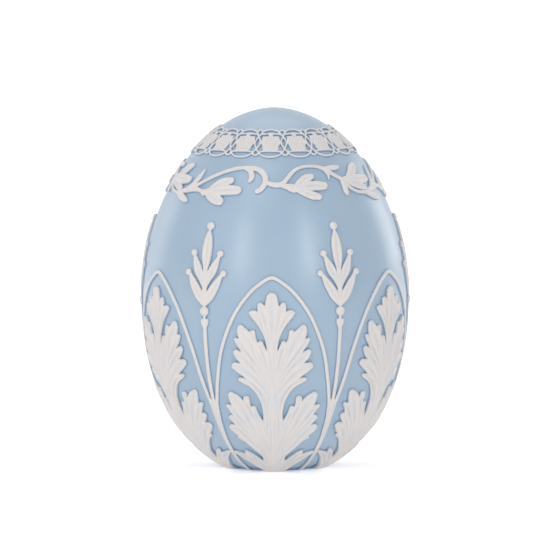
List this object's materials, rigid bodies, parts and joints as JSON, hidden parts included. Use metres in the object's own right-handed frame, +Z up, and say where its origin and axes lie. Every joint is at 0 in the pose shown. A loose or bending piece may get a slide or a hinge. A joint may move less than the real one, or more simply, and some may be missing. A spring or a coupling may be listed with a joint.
{
  "type": "decorated egg ornament",
  "caption": "Free-standing hollow stoneware egg with a flat foot and applied white relief: acanthus leaves under arches, flower spikes, a shoulder vine and a band of interlaced rings.",
  "frame": {"origin": "middle of the flat foot, on the surface the egg stands on", "axes": "+Z up through the egg's pointed end, -Y towards the viewed front, +X to the viewer's right"},
  "size_m": [0.1146, 0.115, 0.1526],
  "materials": {
    "blue_body": "smooth satin unglazed stoneware, pale blue",
    "white_relief": "fine matt-satin white clay, lightly toned in the grooves"
  },
  "bodies": {
    "root": {"acanthus_leaf_1": "white_relief", "acanthus_leaf_2": "white_relief", "acanthus_leaf_3": "white_relief", "acanthus_leaf_4": "white_relief", "acanthus_leaf_5": "white_relief", "acanthus_leaf_6": "white_relief", "egg_body": "blue_body", "flower_spike_1": "white_relief", "flower_spike_2": "white_relief", "flower_spike_3": "white_relief", "flower_spike_4": "white_relief", "flower_spike_5": "white_relief", "flower_spike_6": "white_relief", "forked_stem_1": "white_relief", "forked_stem_2": "white_relief", "forked_stem_3": "white_relief", "forked_stem_4": "white_relief", "forked_stem_5": "white_relief", "forked_stem_6": "white_relief", "lace_band": "white_relief", "leaf_arch_1": "white_relief", "leaf_arch_2": "white_relief", "leaf_arch_3": "white_relief", "leaf_arch_4": "white_relief", "leaf_arch_5": "white_relief", "leaf_arch_6": "white_relief", "vine_bow_1": "white_relief", "vine_bow_2": "white_relief", "vine_bow_3": "white_relief", "vine_flower_1": "white_relief", "vine_flower_2": "white_relief", "vine_flower_3": "white_relief", "vine_flower_4": "white_relief", "vine_flower_5": "white_relief", "vine_flower_6": "white_relief", "vine_flower_7": "white_relief", "vine_flower_8": "white_relief", "vine_flower_9": "white_relief", "vine_scroll_1": "white_relief", "vine_scroll_2": "white_relief", "vine_scroll_3": "white_relief", "vine_tendril_1": "white_relief", "vine_tendril_2": "white_relief", "vine_tendril_3": "white_relief"}
  },
  "joints": []
}
